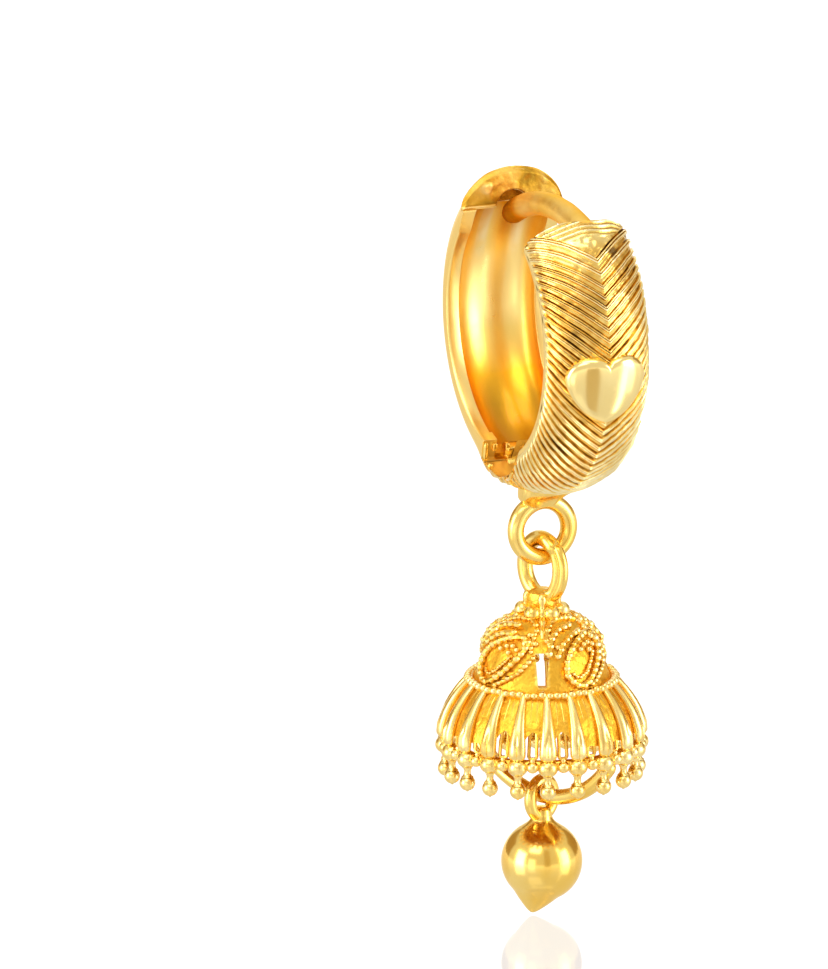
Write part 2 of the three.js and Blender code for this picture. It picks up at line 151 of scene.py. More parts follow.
def new_object(name, shape, weld=False):
    """The shape as a mesh object; with `weld`, points that lie on each other become one."""
    points = (np.concatenate(shape.points) + np.array([0, 0, CENTRE_Z])) * MM
    data = bpy.data.meshes.new(name)
    data.from_pydata(points.tolist(), [], shape.faces)
    mark = data.attributes.new("mark", "FLOAT", "POINT")
    mark.data.foreach_set("value", np.concatenate(shape.marks).astype(np.float32))
    bm = bmesh.new()
    bm.from_mesh(data)
    if weld:
        bmesh.ops.remove_doubles(bm, verts=bm.verts, dist=2e-7)
        bmesh.ops.dissolve_degenerate(bm, edges=bm.edges, dist=1e-8)
    bmesh.ops.recalc_face_normals(bm, faces=bm.faces)
    bm.to_mesh(data)
    bm.free()
    obj = bpy.data.objects.new(name, data)
    bpy.context.scene.collection.objects.link(obj)
    return obj


def shade(obj, sharp):
    obj.data.shade_smooth()
    obj.data.set_sharp_from_angle(angle=math.radians(sharp))


def build(name, shape, body, material, replaces=(), sharp=38, weld=False):
    """The shape as a piece that rides on a CAD body."""
    obj = new_object(name, shape, weld)
    shade(obj, sharp)
    obj.data.materials.append(material)
    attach(obj, body)
    if replaces:
        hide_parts(*replaces)
    return obj


def carve(obj, *shapes):
    """Cuts the shapes out of the object's mesh."""
    tools = [new_object("cutter", shape, True) for shape in shapes]
    for tool in tools:
        cut = obj.modifiers.new("cut", "BOOLEAN")
        cut.operation, cut.solver, cut.object = "DIFFERENCE", "EXACT", tool
    bpy.context.view_layer.update()
    deps = bpy.context.evaluated_depsgraph_get()
    data = bpy.data.meshes.new_from_object(obj.evaluated_get(deps))
    obj.modifiers.clear()
    whole, obj.data = obj.data, data
    bpy.data.meshes.remove(whole)
    for tool in tools:
        bpy.data.objects.remove(tool)
    shade(obj, 32)


def rings_along(path, radius, sides, closed=False):
    """Rings round a path, without twist; radius is for each of its points, or each point and side."""
    ahead = np.roll(path, -1, 0) - np.roll(path, 1, 0)
    if not closed:
        ahead[0], ahead[-1] = path[1] - path[0], path[-1] - path[-2]
    tangent = ahead / np.linalg.norm(ahead, axis=1)[:, None]
    side = np.array([1.0, 0, 0]) if abs(tangent[0][0]) < 0.9 else np.array([0, 0, 1.0])
    first = []
    for t in tangent:
        side = side - t * (side @ t)
        side = side / np.linalg.norm(side)
        first.append(side)
    first = np.array(first)
    second = np.cross(tangent, first)
    turn = once_round(sides)[:, None]
    ring = first[:, None] * np.cos(turn) + second[:, None] * np.sin(turn)
    return path[:, None] + ring * radius[..., None]


def tube(shape, path, radius, sides=16, closed=False, mark=0.0):
    """A round wire along a path, with rounded tips; radius may vary along it."""
    path = np.asarray(path, float)
    radius = np.broadcast_to(np.asarray(radius, float), (len(path),))
    if closed:
        rings = rings_along(path, radius[:, None], sides, True)
        return shape.grid(rings, close_u=True, close_v=True, mark=mark)
    tilt = np.array([1.5, 1.2, 0.85, 0.45])
    tips = []
    for p, q, r in ((path[0], path[1], radius[0]), (path[-1], path[-2], radius[-1])):
        out = (p - q) / np.linalg.norm(p - q)
        tips.append((p + out * r * np.sin(tilt)[:, None], r * np.cos(tilt)))
    (head, head_r), (tail, tail_r) = tips
    path = np.concatenate([head, path, tail[::-1]])
    radius = np.concatenate([head_r, radius, tail_r[::-1]])
    return shape.solid(rings_along(path, radius[:, None], sides), mark)


def lathe(shape, outline, steps=48, mark=0.0):
    """A round body about Z through [radius, z] points."""
    r, z = np.asarray(outline, float).T[..., None]
    return shape.grid(around(r, once_round(steps), z), close_v=True, mark=mark)


def prism(outline, near, far, axis=0):
    """A solid with the outline across X (axis 0) or Y (axis 1), from near to far along it."""
    ends = [np.insert(np.array(outline, float), axis, depth, 1) for depth in (near, far)]
    return Shape().solid(np.stack(ends))


def smooth_line(points, per=6, closed=False):
    """A rounded curve through the points."""
    p = np.asarray(points, float)
    p = np.concatenate([p[-1:], p, p[:2]]) if closed else np.concatenate([p[:1], p, p[-1:]])
    out = []
    for p0, p1, p2, p3 in zip(p, p[1:], p[2:], p[3:]):
        for t in np.arange(per) / per:
            out.append(0.5 * (2 * p1 + (p2 - p0) * t + (2 * p0 - 5 * p1 + 4 * p2 - p3) * t * t
                              + (3 * p1 - p0 - 3 * p2 + p3) * t ** 3))
    if not closed:
        out.append(p[-1])
    return np.array(out)


def evenly(path, step, closed=False):
    """Points a fixed distance apart along a path."""
    line = np.concatenate([path, path[:1]]) if closed else path
    gaps = np.linalg.norm(np.diff(line, axis=0), axis=1)
    along = np.concatenate([[0], np.cumsum(gaps)])
    n = max(2, round(along[-1] / step))
    at = np.linspace(0, along[-1], n + 1)[:n if closed else n + 1]
    return np.stack([np.interp(at, along, line[:, k]) for k in range(3)], -1)


def unit_ball(rows, sides):
    """Points and faces of a ball whose top closes on a point a little to one side."""
    tilt = np.linspace(-math.pi / 2, math.pi / 2, rows + 2)[1:-1, None]
    belt = around(np.cos(tilt[:-1]), once_round(sides), np.sin(tilt[:-1])).reshape(-1, 3)
    points = np.concatenate([[[0, 0, -1.0]], belt, around(np.cos(tilt[-1]), 0, np.sin(tilt[-1]))])
    top = len(belt) + 1
    faces = []
    for j in range(sides):
        k = (j + 1) % sides
        faces += [[0, 1 + k, 1 + j], [top, top - sides + j, top - sides + k]]
        for row in range(1, top - sides, sides):
            faces.append([row + j, row + k, row + sides + k, row + sides + j])
    return points, faces


def balls(shape, centres, radii, rows=7, sides=12, mark=0.0):
    """A small ball at each centre."""
    points, faces = unit_ball(rows, sides)
    for c, r in zip(centres, np.broadcast_to(np.asarray(radii, float), (len(centres),))):
        shape.add(points * r + c, faces, mark)
    return shape


def wave_noise(seed, count, scale):
    """A smooth seeded noise of two coordinates, about -1 to 1."""
    r = np.random.default_rng(seed)
    k = r.normal(0, 1 / scale, (count, 2))
    phase = r.uniform(0, 2 * math.pi, count)

    def value(u, v):
        total = sum(np.sin(a * u + b * v + p) for (a, b), p in zip(k, phase))
        return total / math.sqrt(count)
    return value


ripple = wave_noise(3, 24, 0.5)
pits = wave_noise(5, 40, 0.11)
drift = wave_noise(9, 10, 6.0)


# ---------------------------------------------------------------- hoop band

crown_turn = np.linspace(-math.pi / 2, math.pi / 2, 400)
crown_x = HALF_WIDTH * np.sin(crown_turn)
crown_run = np.cumsum(np.hypot(np.diff(crown_x), np.diff(CROWN_RISE * np.cos(crown_turn))))
crown_share = 2 * np.concatenate([[0], crown_run]) / crown_run[-1] - 1


def crown(s, raise_by=0.0, angle=200.0):
    """x and radius on the crown, which squares up towards the hinge; s is -1 to 1 from edge to edge."""
    t = np.interp(s, crown_share, crown_turn)
    nx, nr = np.sin(t) / HALF_WIDTH, np.cos(t) / CROWN_RISE
    size = np.hypot(nx, nr)
    spread = np.where(np.asarray(angle) < HINGE_ANGLE, 13.0, 8.0)
    square = 1 - 0.46 * np.exp(-((np.asarray(angle) - HINGE_ANGLE) / spread) ** 2)
    x = HALF_WIDTH * signed_power(np.sin(t), 0.5 + 0.5 * square)
    r = EDGE_R + CROWN_RISE * np.cos(t) ** square
    return x + nx / size * raise_by, r + nr / size * raise_by


def on_hoop(x, r, angle):
    x, r, a = np.broadcast_arrays(x, r, np.radians(angle))
    return np.stack([x, r * np.cos(a), r * np.sin(a)], -1)


def smooth_step(a, b, x):
    t = np.clip((x - a) / (b - a), 0, 1)
    return t * t * (3 - 2 * t)


def trough_line(kind, count=29):
    """x and radius of the inner side from edge to edge: solid, full hollow, or the step over the hinge."""
    a = np.linspace(math.pi, 0, count)
    if kind == "full":
        x, r = TROUGH_HALF * np.cos(a), 5.97 + 1.38 * np.sin(a)
    elif kind == "step":
        x, r = 1.85 * np.clip(1.5 * np.cos(a), -1, 1), OPENING_R + 0.75 * np.clip(2.5 * np.sin(a), 0, 1)
    else:
        x, r = TROUGH_HALF * np.cos(a), np.full(count, OPENING_R)
    lip = np.array([(-2.6, 5.98), (-2.585, 5.9), (-2.53, 5.86), (-2.45, 5.85), (-2.02, 5.85), (-1.96, 5.87)])
    return np.concatenate([lip, np.stack([x, r], -1), lip[::-1] * [-1, 1]]).T


def hinge_ledge(x, r, angle):
    """Radius with the band's edges cut down to a ledge beside the hinge."""
    low = np.interp(angle, [239, 246, 253, 266, 276, 284, 284.1], [5.8, 6.35, 6.75, 7.0, 6.85, 6.8, 0])
    side = smooth_step(0.95, 1.25, np.abs(x))
    return np.where(r < low, r + (low - r) * side, r)


def inner_side(angle, kind):
    x, r = trough_line(kind)
    return on_hoop(x, hinge_ledge(x, r, angle), angle)


# the chevrons: each line covers WING degrees from its point to the band's edge
WING = 20.4
LINE_ANGLES = [100, 152, 320]
LINE_NUMBERS = [-8.3, 2.1, 46.3]

# across one engraved line: share of the way, height over the crown, and tone: painted shade below 0, darker
# in the grooves, and painted highlight above 0, lighter on the ridge tops
GROOVE = [(0, -.13, -.12), (.035, -.10, -.10), (.07, -.02, -.03), (.11, .04, .03), (.16, .06, .055),
          (.21, .04, .04), (.245, -.01, -.02), (.27, -.07, -.10), (.295, -.01, -.02), (.33, .04, .04),
          (.38, .06, .055), (.43, .05, .05), (.48, .01, .02), (.53, -.04, -.02), (.58, -.06, -.04),
          (.66, -.065, -.05), (.76, -.06, -.045), (.86, -.065, -.05), (.93, -.08, -.065), (.97, -.11, -.09),
          (1, -.13, -.12)]
groove_at, groove_height, groove_shade_and_highlight = np.array(GROOVE).T


def wander(angle, s):
    """How far an engraved line strays along the hoop, in degrees."""
    across = s * HALF_GIRTH
    return 0.2 * drift(angle, 4 * across) + 0.14 * ripple(np.radians(angle) * CROWN_R, across)


def engraving(angle, s, stray):
    """Height of the engraved surface over the plain crown, and its tone: painted shade in the hollows and
    painted highlight on the raised lines.
    """
    mm = np.radians(angle) * CROWN_R
    across = s * HALF_GIRTH
    phase = np.interp(angle + WING * np.abs(s) - stray, LINE_ANGLES, LINE_NUMBERS)
    share = np.mod(phase + 1e-6, 1.0)
    line = np.floor(phase + 1e-6)
    vary = 1.05 + 0.2 * np.sin(line * 2.4 + 0.9) + 0.22 * ripple(mm * 0.7 + 40, across * 0.7)
    cut = np.interp(share, groove_at, groove_height) * vary + 0.012 * pits(mm, across)
    # painted shade in the grooves and painted highlight on the ridge tops, each varied at random
    tone = np.interp(share, groove_at, groove_shade_and_highlight)
    tone = np.where(tone < 0, tone * (0.75 + 0.45 * vary * ripple(mm * 0.8 + 11, across * 0.8) ** 2), tone)
    tone = tone + 0.016 * pits(mm * 0.8, across * 0.8)
    # above the first chevron the crown is a plain sunk triangle, crossed by a few lines at the end; the
    # triangle is painted darker as shade, and the lines are painted lighter on their tops as highlight and
    # darker between as shade
    plain = smooth_step(-0.04, -0.2, phase)
    sunk = -0.075 + 0.03 * ripple(mm * 1.5, across * 1.5) + 0.02 * pits(mm, across)
    sunk_shade_and_highlight = -0.03 + 0.03 * ripple(mm * 1.5 + 7, across * 1.5)
    bend = angle + 0.9 * ripple(mm * 0.4, across * 0.5)
    wave = np.cos(2 * math.pi * (bend - FRONT_TOP) / 1.9)
    mix = smooth_step(FRONT_TOP + 8.5, FRONT_TOP + 6.0, bend)
    sunk = (0.06 * wave - 0.03) * mix + sunk * (1 - mix)
    sunk_shade_and_highlight = (0.07 * wave - 0.02) * mix + sunk_shade_and_highlight * (1 - mix)
    cut = cut * (1 - plain) + sunk * plain
    tone = tone * (1 - plain) + sunk_shade_and_highlight * plain
    # a plain lip along both edges, with the ridges ending in rounded teeth
    lip = smooth_step(0.965, 0.90, np.abs(s))
    cut = cut * lip + (1 - lip) * 0.012 * pits(mm * 0.6, across)
    tone = tone * lip + (1 - lip) * 0.01
    # the last stretch before the hinge is left as cast
    fade = smooth_step(281, 271, angle - 7 * s)
    rough = -0.02 + 0.045 * ripple(mm * 1.3, across * 1.3) + 0.02 * pits(mm, across)
    rough_tone = -0.045 + 0.035 * ripple(mm * 1.1 + 3, across * 1.1)
    return cut * fade + rough * (1 - fade), tone * fade + rough_tone * (1 - fade)


def front_crown():
    """The engraved skin and its end faces; outside the hinge the lower one flares back, to let it open."""
    shape = Shape()
    s = np.linspace(-1, 1, 91)
    lines = np.arange(-4, 42)
    phase = (lines[:, None] + groove_at[None, :-1]).ravel()
    apex = np.interp(phase, LINE_NUMBERS, LINE_ANGLES)
    apex = np.concatenate([np.arange(FRONT_TOP, 140.0, 0.3), apex[apex > 140.0]])
    flat = apex[:, None] - WING * np.abs(s)[None, :]
    across = np.broadcast_to(s, flat.shape)
    stray = wander(flat, across)
    outside = np.maximum(crown(s, 0.1, FRONT_END)[1] - HINGE_R, 0)
    last = FRONT_END - np.degrees(math.tan(HINGE_FLARE) * outside / HINGE_R)
    angle = np.clip(flat + stray, FRONT_TOP, last)
    height, tone = engraving(angle, across, stray)
    x, r = crown(across, height, angle)
    # the mark is the painted shade and highlight from engraving()
    shape.grid(on_hoop(x, hinge_ledge(x, r, angle), angle), mark=tone)
    for end, foot in ((FRONT_TOP + 0 * s, FRONT_TOP), (last, FRONT_END)):
        x, r = crown(s, engraving(end, s, wander(end, s))[0], end)
        low = np.minimum(hinge_ledge(x, OPENING_R + 0 * s, foot), r)
        face = [on_hoop(x, r, end), on_hoop(x, np.minimum(r, HINGE_R), foot), on_hoop(x, low, foot)]
        shape.grid(np.stack(face))
    return shape


def front_inner():
    """The hollow inside of the front half, with its two flat edges."""
    rows = [(FRONT_TOP, "solid"), (134.9, "solid"), (135.1, "full")]
    rows += [(a, "full") for a in np.arange(137.5, 271, 1.5)]
    rows += [(271.0, "full"), (271.2, "step"), (274, "step"), (277, "step"), (FRONT_END, "step")]
    inner = np.array([inner_side(*row) for row in rows])
    angles = np.array([a for a, _ in rows])
    edge = hinge_ledge(HALF_WIDTH, EDGE_R, angles)
    left, right = (on_hoop(x, edge, angles)[:, None] for x in (-HALF_WIDTH, HALF_WIDTH))
    return Shape().grid(np.concatenate([left, inner, right], 1))


def heart_edge(turns):
    """The heart's outline about its middle, in millimetres: x across, y up."""
    w, h = 3.78 / 2, 3.4
    top, notch, tip = 0.42 * h, 0.3 * h, -0.58 * h
    right = [[(0, notch), (0.1 * w, top), (0.85 * w, 1.15 * top), (w, 0.3 * top)],
             [(w, 0.3 * top), (1.04 * w, 0.28 * tip), (0.45 * w, 0.94 * tip), (0, tip)]]
    left = [[(-x, y) for x, y in four[::-1]] for four in right[::-1]]
    t = np.linspace(0, 1, turns, endpoint=False)[:, None]
    weights = (1 - t) ** 3, 3 * t * (1 - t) ** 2, 3 * t * t * (1 - t), t ** 3
    outline = [sum(k * np.array(p) for k, p in zip(weights, four)) for four in right + left]
    return np.concatenate(outline) + np.array([-0.1, 0])


def heart():
    """The raised, polished heart: rounded shoulders and a gently domed face."""
    edge = heart_edge(24)
    middle = np.array([-0.1, -0.1])
    # share of the outline's size, and height over the crown
    doming = [(1.03, -0.25), (1.02, 0.0), (1.005, 0.12), (0.985, 0.19), (0.96, 0.24), (0.93, 0.275),
              (0.89, 0.3), (0.84, 0.32), (0.77, 0.335), (0.68, 0.345), (0.57, 0.352), (0.44, 0.358),
              (0.3, 0.362), (0.15, 0.365), (0.05, 0.366)]
    rings = []
    for share, lift in doming:
        flat = middle + (edge - middle) * share
        x, r = crown(np.interp(flat[:, 0], crown_x, crown_share), lift)
        rings.append(on_hoop(x, r, 186.8 - np.degrees(np.arcsin(flat[:, 1] / r))))
    return Shape().grid(np.array(rings), close_v=True).fan(rings[-1])


def rounded_block(shape, size, centre, bevel=0.08):
    """A box with rounded edges, square to the hinge."""
    half = np.array(size, float) / 2
    count = 6
    u, v = np.meshgrid(*[np.linspace(-1, 1, count)] * 2, indexing="ij")
    for axis in range(3):
        for sign in (-1, 1):
            cube = np.zeros((count, count, 3))
            cube[..., axis] = sign
            cube[..., (axis + 1) % 3] = np.sign(u) * (1 - (1 - np.abs(u)) ** 2.5)
            cube[..., (axis + 2) % 3] = np.sign(v) * (1 - (1 - np.abs(v)) ** 2.5)
            core = np.clip(cube * half, -(half - bevel), half - bevel)
            out = cube * half - core
            length = np.linalg.norm(out, axis=-1, keepdims=True)
            shape.grid((core + out / np.maximum(length, 1e-9) * bevel) @ spin(HINGE_LEAN, 0) + centre)


def pin_rings(line, sides):
    """Rings about the hinge pin's axis through (x, radius) points."""
    x, r = np.array(line, float).T[..., None]
    turn = once_round(sides)
    return np.stack([x + 0 * turn, HINGE_Y + r * np.cos(turn), HINGE_Z + r * np.sin(turn)], -1)


def barrel(shape, from_x, to_x):
    """A hinge knuckle with softened ends."""
    soft = 0.06
    line = [(from_x, PIN_R), (from_x, KNUCKLE_R - soft), (from_x + soft, KNUCKLE_R),
            (to_x - soft, KNUCKLE_R), (to_x, KNUCKLE_R - soft), (to_x, PIN_R)]
    shape.grid(pin_rings(line, 28), close_v=True)


def front_hinge():
    """The middle knuckle with its tabs, a ridge on the ledge and two soldering knobs."""
    shape = Shape()
    barrel(shape, -0.5, 0.5)
    for x in (-0.27, 0.27):
        rounded_block(shape, (0.4, 0.75, 0.5), on_hoop(x, 6.5, 277.6))
    ridge = [(-2.5, 6.72, 253), (-2.4, 6.95, 258), (-2.22, 7.1, 264), (-2.02, 7.24, 270)]
    tube(shape, smooth_line([on_hoop(*p) for p in ridge], 5), 0.09, 10)
    return balls(shape, [on_hoop(-2.5, 6.8, 276.5), on_hoop(2.5, 6.8, 276.5)], 0.14, 9, 14)


def hanger():
    """The tab under the band and the round ring below it."""
    z = np.array([-7.3, -7.7, -7.95, -8.12, -8.25, -8.36, -8.48, -8.62, -8.8])[:, None]
    right = np.array([1.62, 1.62, 1.6, 1.5, 1.3, 1.12, 0.94, 0.78, 0.6])[:, None]
    left = np.array([1.28, 1.3, 1.3, 1.29, 1.27, 1.22, 1.12, 0.95, 0.75])[:, None]
    deep = np.array([0.7, 0.7, 0.68, 0.65, 0.58, 0.52, 0.47, 0.43, 0.4])[:, None]
    turn = once_round(48)
    across, along = signed_power(np.cos(turn), 0.5), signed_power(np.sin(turn), 0.5)
    wide = np.where(across > 0, right, left) * across
    uneven = 0.02 * ripple(z * 2, 3 * turn)
    middle = np.linspace(-0.2, 0.25, len(z))[:, None]
    points = np.stack([wide, middle + deep * along * (1 + uneven), z + 0.05 * wide + uneven], -1)
    shape = Shape().grid(points, close_v=True)
    turn = once_round(72)
    ring = np.stack([RING_R * np.cos(turn), DROP_Y + 0 * turn, RING_Z + RING_R * np.sin(turn)], -1)
    return tube(shape, ring, 0.408 + 0.012 * np.sin(3 * turn + 1), 24, closed=True)


def band_skin(rows):
    """A closed piece of the band through rows of (angle, kind of inner side), with painted shade and
    highlight on the trough floor.
    """
    s = np.linspace(1, -1, 57)
    loop, tone = [], []
    for angle, kind in rows:
        x, r = crown(s, 0.0, angle)
        loop.append(np.concatenate([on_hoop(x, hinge_ledge(x, r, angle), angle), inner_side(angle, kind)]))
        across, inner_r = trough_line(kind)
        # painted shade on the trough floor, darker low down and under the end plate, with two painted
        # highlight bands across it under the plate
        painted_highlight_bands = np.exp(-((across + 0.45) / 0.4) ** 2) + np.exp(-((across - 1.2) / 0.32) ** 2)
        top = smooth_step(372, 388, angle) * smooth_step(413, 403, angle)
        deep = 0.095 * smooth_step(354, 308, angle) + 0.065 * smooth_step(396, 408, angle)
        deep = deep + top * (0.04 - 0.075 * painted_highlight_bands)
        tone.append(np.concatenate([0 * s, -deep * smooth_step(6.0, 6.5, inner_r)]))
    return Shape().solid(np.array(loop), np.array(tone))


def back_band():
    """The plain back half, hollow inside right up to the end plate."""
    rows = [(BACK_START, "step"), (282.7, "step"), (284, "step"), (284.1, "step"), (288, "step")]
    rows += [(290.8, "step"), (291.0, "full")]
    return band_skin(rows + [(a, "full") for a in np.arange(293, BACK_END + 1, 2.0)])


def end_plate():
    """The solid end of the back half, behind its cast face."""
    return band_skin([(a, "solid") for a in np.arange(394, BACK_END + 0.5, 2.0)])


def plate_face():
    """The rough, upright face of the end plate, dented by the notch for the post, with painted shade and
    highlight in its tone.
    """
    x = np.linspace(-1, 1, 141)
    low = 5.0
    half = 2.62 + 0.025 * ripple(x * 0 + 3, x * 2.2)
    r = EDGE_R + CROWN_RISE * np.sqrt(np.maximum(0.0, 1 - (2.56 * x / HALF_WIDTH) ** 2))
    high = np.sqrt(r ** 2 - PLATE_Y ** 2) + 0.09 + 0.035 * ripple(x * 1.9, x * 0)
    v = np.linspace(0, 1, 71)[:, None]
    px = half * x + 0 * v
    pz = low + (high - low) * v
    lumps = 0.045 * ripple(px * 0.45, pz * 0.45) + 0.02 * ripple(px * 1.3 + 9, pz * 1.3)
    lumps = lumps + 0.008 * pits(px, pz) - 0.06 * np.clip(pits(px * 0.4 + 30, pz * 0.4) - 1.1, 0, 1)
    border = np.minimum(np.minimum(pz - low, high - pz), (half - np.abs(px)) * 1.2)
    rounded = 0.2 * (1 - smooth_step(0.0, 0.3, border))
    lip = 0.1 * smooth_step(0.0, 0.07, pz - low) * smooth_step(0.2, 0.12, pz - low)
    dent = smooth_step(0.86, 0.66, np.hypot(px, pz - NOTCH_Z))
    py = PLATE_Y - 0.02 + lumps * smooth_step(0.0, 0.3, pz - low) + rounded - lip + 0.95 * dent
    # the tone is partly random ripple and partly painted light: painted shade in the recessed lumps and in
    # the notch's dent, painted highlight on the raised lumps and along the lower lip
    tone = -0.05 + 0.03 * ripple(px * 0.8 + 5, pz * 0.8) - 0.5 * lumps
    tone = tone + 0.1 * smooth_step(0.24, 0.1, pz - low)
    face = np.stack([px, py, pz], -1)
    shape = Shape().grid(face, mark=tone * (1 - dent) - 0.095 * dent)
    back_y = np.maximum(np.sqrt(np.maximum((r - 0.12) ** 2 - low ** 2, 0)), py[0])
    return shape.grid(np.stack([face[0], np.stack([px[0], back_y, pz[0]], -1)]))


def front_trim():
    """What is cut from the back band in front of its end plate: the edges run up smoothly to the plate."""
    t = np.linspace(0, 1, 9)[:, None]
    weights = (1 - t) ** 2, 2 * t * (1 - t), t ** 2
    rise = sum(k * np.array(p) for k, p in zip(weights, [(4.6, 3.58), (4.22, 4.15), (3.87, 5.0)]))
    return prism([(0.2, 3.58), *rise, (3.87, 9.5), (0.2, 9.5)], -6, 6)


def hinge_wedge():
    """What is cut from the back band's lower end outside the hinge, to let it open."""
    out = math.radians(HINGE_ANGLE)
    far = [(HINGE_Y + 2 * math.cos(out + a), HINGE_Z + 2 * math.sin(out + a)) for a in (-0.3, HINGE_FLARE)]
    return prism([(HINGE_Y, HINGE_Z), *far], -6, 6)


def trim_block(to_y, low, high):
    return prism([(0.2, low), (to_y, low), (to_y, high), (0.2, high)], -6, 6)


def notch():
    """A slot with a round top, into the end plate but not through it."""
    arch = [(NOTCH_R * math.cos(t), NOTCH_Z + NOTCH_R * math.sin(t)) for t in np.linspace(0, math.pi, 25)]
    return prism([(NOTCH_R, 4.4), *arch, (-NOTCH_R, 4.4)], 2.0, 4.95, 1)


def back_hinge_parts():
    """The two outer knuckles with their tabs, and small tabs on the ledge."""
    shape = Shape()
    barrel(shape, 0.56, 1.5)
    barrel(shape, -1.5, -0.56)
    for x in (-1.0, 1.0):
        rounded_block(shape, (0.8, 0.75, 0.5), on_hoop(x, 6.5, 284.4))
    for x, r, width, height in ((2.46, 6.38, 0.2, 0.9), (2.0, 6.2, 0.26, 0.4), (1.34, 6.42, 0.24, 0.72)):
        for side in (-x, x):
            rounded_block(shape, (width, 0.34, height), on_hoop(side, r, 283.5))
    return shape


def post():
    """The curved post, with a rounded tip, slight unevenness from casting, and painted shade towards the tip
    where it goes into the notch.
    """
    degrees = np.linspace(103.9, 58.5, 90)[:, None]
    a = np.radians(degrees[:, 0])
    path = np.stack([0 * a, -1.8 + 12 * np.cos(a), -5.84 + 12 * np.sin(a)], -1)
    turn = once_round(40)
    uneven = 0.012 * ripple(degrees * 0.22, turn * 0.8)
    uneven = uneven - 0.03 * np.clip(pits(degrees * 0.11, turn * 0.35) - 1.15, 0, 1)
    taper = np.ones(len(a))
    taper[-10:] = np.sqrt(1 - np.linspace(0, 0.98, 10) ** 2)
    rings = rings_along(path, (0.575 + uneven) * taper[:, None], 40)
    # painted shade, darker towards the tip where it goes into the notch
    return Shape().solid(rings, -0.09 * smooth_step(74, 65, degrees) + 0 * turn)


def pin():
    line = [(-1.44, 0.05), (-1.44, 0.24), (-1.38, PIN_R), (1.38, PIN_R), (1.44, 0.24), (1.44, 0.05)]
    return Shape().solid(pin_rings(line, 20))


# ---------------------------------------------------------------- jhumki bell, about its own axis

dome_line = smooth_line([(0.95, -14.14), (1.42, -14.36), (1.98, -14.74), (2.44, -15.22), (2.78, -15.8),
                         (2.98, -16.4), (3.2, -17.1), (3.3, -17.4)], 5)


def on_dome(u, z, middle, raise_by):
    """A point u mm round the dome from the direction `middle`, at height z."""
    r = np.interp(-np.asarray(z, float), -dome_line[:, 1], dome_line[:, 0])
    return around(r + raise_by, middle + np.asarray(u, float) / np.maximum(r, 0.6), z)


def eye():
    """The bell's loop: a thick wire whose ends lie side by side on one half."""
    half_height = 1.42
    centre = RING_Z - RING_R + 0.9 - half_height
    t = once_round(80)
    double = smooth_step(0.35, 0.75, -np.cos(t)) * smooth_step(0.8, 0.55, np.sin(t))
    loop = np.stack([0 * t, 1.15 * np.cos(t) * (1 - 0.10 * double), centre + half_height * np.sin(t)], -1)
    shape = tube(Shape(), loop, 0.385 - 0.12 * double, 20, closed=True)
    u = np.linspace(math.radians(138), math.radians(236), 30)
    return tube(shape, np.stack([0.03 + 0 * u, 1.4 * np.cos(u), centre + 1.6 * np.sin(u)], -1), 0.24, 16)


def neck_and_dome():
    """The sheet of the bell's top: the neck and the dome, open below; the dome is painted darker than the
    neck, as shade among the wires.
    """
    outside = [(0.01, -12.9), (0.45, -12.95), (0.68, -13.08), (0.76, -13.3), (0.74, -13.6),
               (0.72, -13.85), (0.78, -14.05), (0.95, -14.16), *dome_line]
    inside = [(r - 0.4, z - 0.16) for r, z in dome_line[::-1] if r > 1.25]
    outline = outside + inside + [(0.01, inside[-1][1])]
    # painted shade: the dome below the neck is darker than the neck
    dome_painted_shade = [0.0 if z > -14.1 else -0.06 for _, z in outline]
    steps = 96
    return lathe(Shape(), outline, steps, np.repeat(dome_painted_shade, steps))


def beaded(shape, path, bead_r, closed=False):
    """A wire of touching grains along a path, each a little off size; the wire under them is painted darker
    as shade between the grains.
    """
    tube(shape, path, bead_r * 0.75, 8, closed=closed, mark=-0.05)
    centres = evenly(path, bead_r * 1.9, closed)
    sizes = bead_r * rng.uniform(0.88, 1.1, len(centres))
    return balls(shape, centres + rng.normal(0, 0.018, centres.shape), sizes, 5, 9)


# outlines on the dome: mm round it from a leaf's middle, height
LEAF = [(-1.0, -16.72), (-0.55, -16.98), (0.02, -16.74), (0.52, -16.26), (0.95, -15.72), (1.16, -15.22),
        (1.02, -14.86), (0.48, -14.84), (-0.2, -15.04), (-0.76, -15.44), (-1.08, -15.94), (-1.18, -16.4)]
LEAF_GRAINS = [(0.5, -15.2), (0.78, -15.34), (0.2, -15.24), (0.42, -15.5), (-0.1, -15.4)]
KNOBS = [(-0.55, -14.72), (0.5, -14.8), (-0.3, -15.04), (0.36, -15.1), (-0.78, -15.05), (0.72, -15.2)]

# beaded wires round each leaf: height over the dome, size of a grain, line
WIRES = [
    (0.2, 0.2, [(-1.72, -15.42), (-1.2, -14.82), (-0.62, -14.52), (0.05, -14.42)]),
    (0.24, 0.17, [(-1.34, -15.52), (-0.88, -15.06), (-0.34, -14.8), (0.24, -14.68)]),
    (0.1, 0.1, [(-0.82, -16.45), (-0.5, -16.62), (-0.1, -16.42), (0.3, -16.02), (0.62, -15.62)]),
    (0.1, 0.13, [(1.08, -14.55), (1.3, -14.95), (1.46, -15.4)]),
    (0.12, 0.16, [(-1.5, -14.9), (-1.05, -14.5), (-0.45, -14.24), (0.3, -14.2), (0.85, -14.36)]),
    (0.12, 0.14, [(0.1, -17.02), (0.72, -16.7), (1.28, -16.22), (1.66, -15.62)])]

# wires between the leaves, down from the neck: radius, height
STRAND = [(0.7, -13.2), (0.76, -13.7), (0.92, -14.1), (1.25, -14.36), (1.62, -14.62), (1.95, -14.9)]


def line_on_dome(points, middle, raise_by, closed=False):
    u, z = smooth_line(points, 6, closed).T
    return on_dome(u, z, middle, raise_by)


